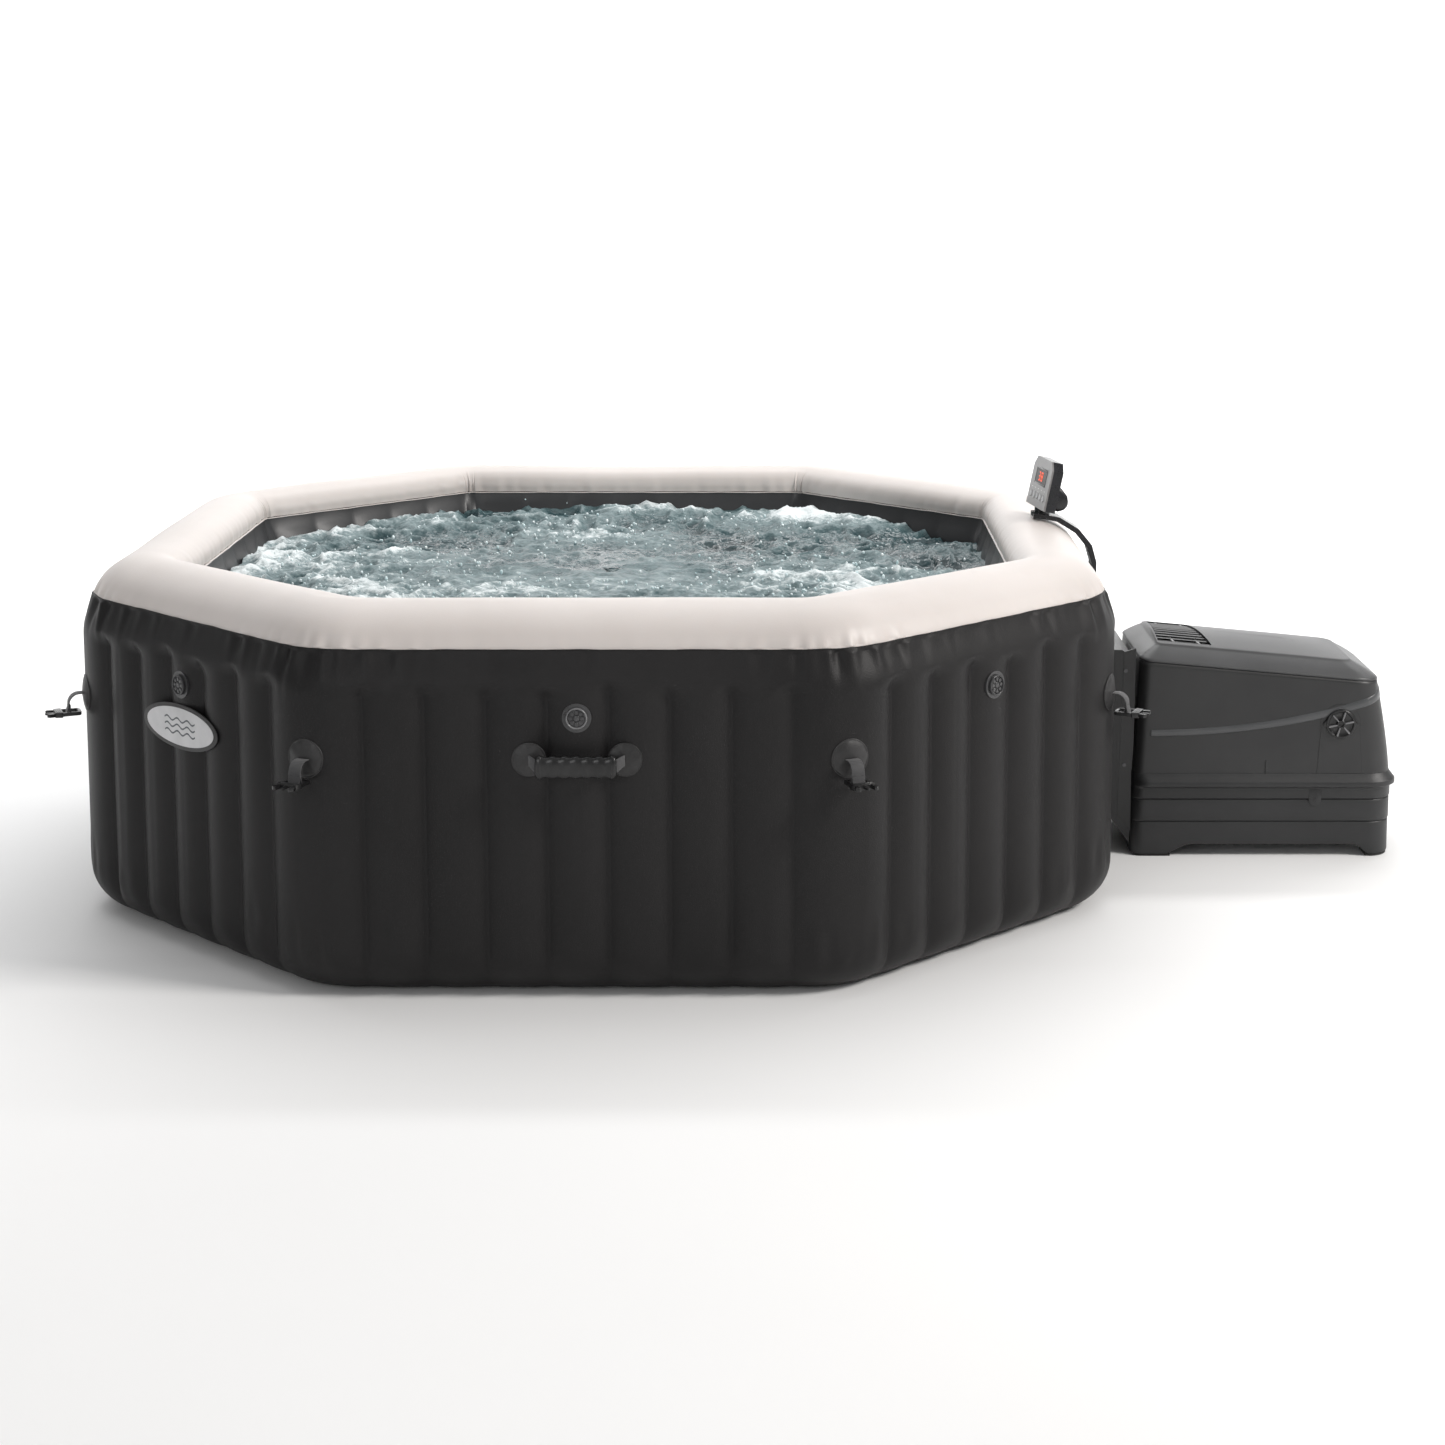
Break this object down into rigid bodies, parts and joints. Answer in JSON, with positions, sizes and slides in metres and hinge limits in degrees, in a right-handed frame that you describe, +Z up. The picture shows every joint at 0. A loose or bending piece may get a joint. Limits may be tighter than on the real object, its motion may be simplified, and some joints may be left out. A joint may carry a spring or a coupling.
{
  "type": "inflatable hot tub",
  "caption": "Octagonal inflatable hot tub with a ribbed wall and soft top roll, carrying handles, cover clips, a pump and heater unit, and a swivelling control panel on the rim.",
  "frame": {"origin": "on the floor under the centre of the tub", "axes": "+Z up, +X towards the pump unit, -Y towards the side with the front valve and handle"},
  "size_m": [2.7037, 2.1314, 0.8157],
  "materials": {
    "charcoal_pvc": "matt grained inflated vinyl",
    "cream_pvc": "soft satin vinyl",
    "liner_pvc": "smooth vinyl liner",
    "webbing": "woven polypropylene webbing",
    "patch_pvc": "matt vinyl patch",
    "black_plastic": "moulded black plastic",
    "valve_plastic": "moulded dark grey plastic",
    "badge_plastic": "satin grey with a dark border",
    "pump_dark": "fine textured dark grey plastic",
    "pump_light": "fine textured light grey plastic",
    "trim_grey": "satin grey plastic",
    "pipe_plastic": "grey pipe plastic",
    "foot_rubber": "black rubber",
    "filter_media": "pleated white filter paper",
    "motor_metal": "painted steel can",
    "heater_metal": "brushed titanium tube",
    "board_green": "circuit board",
    "screw_steel": "plain steel",
    "panel_black": "satin black plastic",
    "panel_grey": "satin light grey",
    "display_glass": "dark window with lit digits",
    "key_grey": "soft touch keys"
  },
  "bodies": {
    "tub": {"air_blower": "black_plastic", "badge": "badge_plastic", "base_skin": "charcoal_pvc", "base_tray": "pump_dark", "bubble_channel": "liner_pvc", "circuit_board": "board_green", "cord_gland": "foot_rubber", "filter_canister": "pipe_plastic", "filter_cartridge": "filter_media", "filter_door": "pump_dark", "floor_sheet": "liner_pvc", "handle_patches": "patch_pvc", "heater_tube": "heater_metal", "housing_screws": "screw_steel", "inner_wall": "liner_pvc", "neck_cowl": "pump_dark", "outer_wall": "charcoal_pvc", "panel_bracket": "panel_black", "pipes": "pipe_plastic", "port_cover": "pump_dark", "pump_motor": "motor_metal", "pump_volute": "pipe_plastic", "rubber_feet": "foot_rubber", "strainers": "pipe_plastic", "strap_patches": "patch_pvc", "strap_webbing": "webbing", "swoosh_trim": "trim_grey", "top_cover": "pump_light", "top_roll": "cream_pvc", "union_nuts": "black_plastic", "upper_cover": "pump_dark", "valve_bases": "valve_plastic", "vent_grille": "black_plastic", "wall_fittings": "pipe_plastic"},
    "clip_right_back": {"clip_right_back": "black_plastic"},
    "clip_back_right": {"clip_back_right": "black_plastic"},
    "clip_back_left": {"clip_back_left": "black_plastic"},
    "clip_left_back": {"clip_left_back": "black_plastic"},
    "clip_left_front": {"clip_left_front": "black_plastic"},
    "clip_front_left": {"clip_front_left": "black_plastic"},
    "clip_front_right": {"clip_front_right": "black_plastic"},
    "clip_right_front": {"clip_right_front": "black_plastic"},
    "handle_front": {"handle_front": "black_plastic"},
    "handle_back": {"handle_back": "black_plastic"},
    "valve_cap_front": {"valve_cap_front": "valve_plastic"},
    "valve_cap_left": {"valve_cap_left": "valve_plastic"},
    "valve_cap_right": {"valve_cap_right": "valve_plastic"},
    "filter_cap": {"filter_cap": "pump_dark"},
    "impeller": {"impeller": "pipe_plastic"},
    "blower_fan": {"blower_fan": "black_plastic"},
    "panel": {"panel_housing": "panel_black", "panel_bezel": "panel_grey", "display_window": "display_glass", "panel_board": "board_green", "panel_post": "panel_black"},
    "key_1": {"key_1": "key_grey"},
    "key_2": {"key_2": "key_grey"},
    "key_3": {"key_3": "key_grey"},
    "key_4": {"key_4": "key_grey"},
    "key_5": {"key_5": "key_grey"}
  },
  "joints": [
    {"name": "clip_right_back_swing", "type": "hinge", "parent": "tub", "child": "clip_right_back", "pos_m": [1.0189, 0.48434, 0.393], "axis": [-0.3827, 0.9239, 0], "range_deg": [-50, 50]},
    {"name": "clip_back_right_swing", "type": "hinge", "parent": "tub", "child": "clip_back_right", "pos_m": [0.48434, 1.0189, 0.393], "axis": [-0.9239, 0.3827, 0], "range_deg": [-50, 50]},
    {"name": "clip_back_left_swing", "type": "hinge", "parent": "tub", "child": "clip_back_left", "pos_m": [-0.48434, 1.0189, 0.393], "axis": [-0.9239, -0.3827, 0], "range_deg": [-50, 50]},
    {"name": "clip_left_back_swing", "type": "hinge", "parent": "tub", "child": "clip_left_back", "pos_m": [-1.0189, 0.48434, 0.393], "axis": [-0.3827, -0.9239, 0], "range_deg": [-50, 50]},
    {"name": "clip_left_front_swing", "type": "hinge", "parent": "tub", "child": "clip_left_front", "pos_m": [-1.0189, -0.48434, 0.393], "axis": [0.3827, -0.9239, 0], "range_deg": [-50, 50]},
    {"name": "clip_front_left_swing", "type": "hinge", "parent": "tub", "child": "clip_front_left", "pos_m": [-0.48434, -1.0189, 0.393], "axis": [0.9239, -0.3827, 0], "range_deg": [-50, 50]},
    {"name": "clip_front_right_swing", "type": "hinge", "parent": "tub", "child": "clip_front_right", "pos_m": [0.48434, -1.0189, 0.393], "axis": [0.9239, 0.3827, 0], "range_deg": [-50, 50]},
    {"name": "clip_right_front_swing", "type": "hinge", "parent": "tub", "child": "clip_right_front", "pos_m": [1.0189, -0.48434, 0.393], "axis": [0.3827, 0.9239, 0], "range_deg": [-50, 50]},
    {"name": "handle_front_lift", "type": "hinge", "parent": "tub", "child": "handle_front", "pos_m": [0, -1.014, 0.432], "axis": [-1, 0, 0], "range_deg": [-20, 60]},
    {"name": "handle_back_lift", "type": "hinge", "parent": "tub", "child": "handle_back", "pos_m": [0, 1.014, 0.432], "axis": [1, 0, 0], "range_deg": [-20, 60]},
    {"name": "valve_cap_front_turn", "type": "hinge", "parent": "tub", "child": "valve_cap_front", "pos_m": [0, -1.005, 0.505], "axis": [0, -1, 0], "range_deg": [0, 90]},
    {"name": "valve_cap_left_turn", "type": "hinge", "parent": "tub", "child": "valve_cap_left", "pos_m": [-0.74179, -0.74179, 0.505], "axis": [-0.7071, -0.7071, 0], "range_deg": [0, 90]},
    {"name": "valve_cap_right_turn", "type": "hinge", "parent": "tub", "child": "valve_cap_right", "pos_m": [0.74179, -0.74179, 0.505], "axis": [0.7071, -0.7071, 0], "range_deg": [0, 90]},
    {"name": "filter_cap_turn", "type": "hinge", "parent": "tub", "child": "filter_cap", "pos_m": [1.512, -0.118, 0.283], "axis": [0, -1, 0], "range_deg": [0, 90]},
    {"name": "impeller_spin", "type": "hinge", "parent": "tub", "child": "impeller", "pos_m": [1.2, 0.09, 0.11], "axis": [1, 0, 0], "continuous": true},
    {"name": "blower_fan_spin", "type": "hinge", "parent": "tub", "child": "blower_fan", "pos_m": [1.185, 0.032, 0.24], "axis": [0, 0, 1], "continuous": true},
    {"name": "panel_swivel", "type": "hinge", "parent": "tub", "child": "panel", "pos_m": [0.9, 0.04, 0.71], "axis": [0, 0, 1], "range_deg": [-60, 60]},
    {"name": "key_1_press", "type": "slide", "parent": "panel", "child": "key_1", "axis": [0.9661, 0.153, -0.2079], "range_m": [0, 0.001], "stiffness_N_per_m": 300, "springref_m": -0.0005},
    {"name": "key_2_press", "type": "slide", "parent": "panel", "child": "key_2", "axis": [0.9661, 0.153, -0.2079], "range_m": [0, 0.001], "stiffness_N_per_m": 300, "springref_m": -0.0005},
    {"name": "key_3_press", "type": "slide", "parent": "panel", "child": "key_3", "axis": [0.9661, 0.153, -0.2079], "range_m": [0, 0.001], "stiffness_N_per_m": 300, "springref_m": -0.0005},
    {"name": "key_4_press", "type": "slide", "parent": "panel", "child": "key_4", "axis": [0.9661, 0.153, -0.2079], "range_m": [0, 0.001], "stiffness_N_per_m": 300, "springref_m": -0.0005},
    {"name": "key_5_press", "type": "slide", "parent": "panel", "child": "key_5", "axis": [0.9661, 0.153, -0.2079], "range_m": [0, 0.001], "stiffness_N_per_m": 300, "springref_m": -0.0005}
  ]
}
